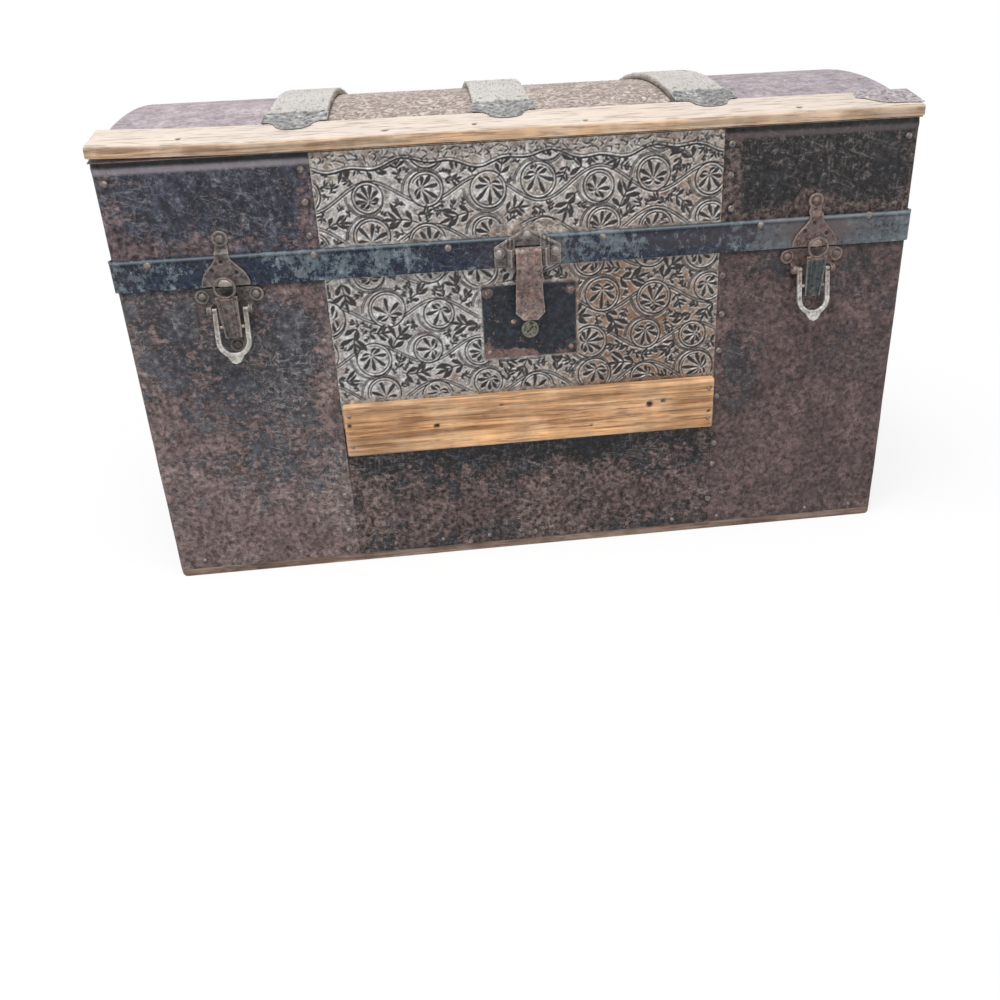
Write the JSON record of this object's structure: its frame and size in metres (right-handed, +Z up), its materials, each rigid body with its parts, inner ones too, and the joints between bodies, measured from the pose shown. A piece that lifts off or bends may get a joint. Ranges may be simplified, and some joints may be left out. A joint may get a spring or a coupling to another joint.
{
  "type": "dome top trunk",
  "caption": "Dome top trunk with boarded body and arched lid under sheet metal, pressed tin panels, slats, draw latches and a hasp lock.",
  "frame": {"origin": "middle of the bottom board's underside, on the floor", "axes": "+X to the right along the trunk's length, +Y to the back, the front with the lock faces -Y, +Z up"},
  "size_m": [0.8228, 0.4459, 0.4775],
  "materials": {
    "pine": "bare, aged",
    "oak": "worn finish",
    "weathered_oak": "weathered grey",
    "painted_sheet": "chipped navy paint",
    "rusted_sheet": "rusted brown",
    "top_sheet": "faded mauve brown",
    "pressed_tin": "embossed, tarnished",
    "band_steel": "slate blue paint",
    "stamped_steel": "stamped pewter grey",
    "latch_iron": "rusty",
    "hasp_iron": "rusty",
    "bail_steel": "pale worn",
    "lock_iron": "black japanned, rusted foot",
    "key_brass": "tarnished",
    "leather": "dark, dry"
  },
  "bodies": {
    "body": {"front_board": "pine", "back_board": "pine", "left_end_board": "pine", "right_end_board": "pine", "bottom_board": "pine", "body_left_sheet": "rusted_sheet", "body_right_sheet": "rusted_sheet", "body_back_sheet": "rusted_sheet", "body_front_tin": "pressed_tin", "body_front_low_sheet": "rusted_sheet", "front_slat": "oak", "left_latch_base": "latch_iron", "right_latch_base": "latch_iron", "lock_plate": "lock_iron", "left_hinge_body_leaf": "latch_iron", "right_hinge_body_leaf": "latch_iron", "left_handle": "leather", "left_handle_front_cap": "stamped_steel", "left_handle_back_cap": "stamped_steel", "right_handle": "leather", "right_handle_front_cap": "stamped_steel", "right_handle_back_cap": "stamped_steel"},
    "lid": {"lid_front_rail": "pine", "lid_back_rail": "pine", "lid_left_end": "pine", "lid_right_end": "pine", "lid_top_board": "pine", "lid_left_sheet": "painted_sheet", "lid_right_sheet": "painted_sheet", "lid_front_tin": "pressed_tin", "lid_back_sheet": "painted_sheet", "lid_top_left_sheet": "top_sheet", "lid_top_tin": "pressed_tin", "lid_top_right_sheet": "top_sheet", "lid_band": "band_steel", "front_edge_slat": "weathered_oak", "back_edge_slat": "weathered_oak", "corner_clamp": "stamped_steel", "left_latch_keeper": "latch_iron", "right_latch_keeper": "latch_iron", "hasp_plate": "hasp_iron", "left_hinge_lid_leaf": "latch_iron", "right_hinge_lid_leaf": "latch_iron", "left_cross_slat": "weathered_oak", "left_front_clamp": "stamped_steel", "left_back_clamp": "stamped_steel", "middle_cross_slat": "weathered_oak", "middle_front_clamp": "stamped_steel", "middle_back_clamp": "stamped_steel", "right_cross_slat": "weathered_oak", "right_front_clamp": "stamped_steel", "right_back_clamp": "stamped_steel"},
    "hasp": {"hasp": "hasp_iron"},
    "left_bail": {"left_bail": "bail_steel"},
    "right_bail": {"right_bail": "bail_steel"},
    "left_link": {"left_link": "latch_iron"},
    "right_link": {"right_link": "latch_iron"},
    "key_plug": {"key_plug": "key_brass"},
    "lock_bolt": {"lock_bolt": "bail_steel"}
  },
  "joints": [
    {"name": "lid_hinge", "type": "hinge", "parent": "body", "child": "lid", "pos_m": [0, 0.2163, 0.306], "axis": [-1, 0, 0], "range_deg": [0, 100]},
    {"name": "hasp_swing", "type": "hinge", "parent": "lid", "child": "hasp", "pos_m": [0.002, -0.2184, 0.32], "axis": [-1, 0, 0], "range_deg": [-9, 150]},
    {"name": "left_bail_swing", "type": "hinge", "parent": "body", "child": "left_bail", "pos_m": [-0.277, -0.2152, 0.285], "axis": [-1, 0, 0], "range_deg": [-10, 93]},
    {"name": "left_link_swing", "type": "hinge", "parent": "left_bail", "child": "left_link", "pos_m": [-0.277, -0.2165, 0.26898], "axis": [-1, 0, 0], "range_deg": [-140, 15.5]},
    {"name": "right_bail_swing", "type": "hinge", "parent": "body", "child": "right_bail", "pos_m": [0.281, -0.2152, 0.285], "axis": [-1, 0, 0], "range_deg": [-10, 93]},
    {"name": "right_link_swing", "type": "hinge", "parent": "right_bail", "child": "right_link", "pos_m": [0.281, -0.2165, 0.26898], "axis": [-1, 0, 0], "range_deg": [-140, 15.5]},
    {"name": "key_turn", "type": "hinge", "parent": "body", "child": "key_plug", "pos_m": [0.002, -0.2085, 0.244], "axis": [0, 1, 0], "range_deg": [0, 90]},
    {"name": "bolt_slide", "type": "slide", "parent": "body", "child": "lock_bolt", "axis": [1, 0, 0], "range_m": [0, 0.00594]}
  ],
  "couplings": [
    {"joint": "left_link_swing", "follows": "left_bail_swing", "ratio": -1.5},
    {"joint": "right_link_swing", "follows": "right_bail_swing", "ratio": -1.5},
    {"joint": "key_turn", "follows": "bolt_slide", "rad_per_m": 264.4}
  ]
}
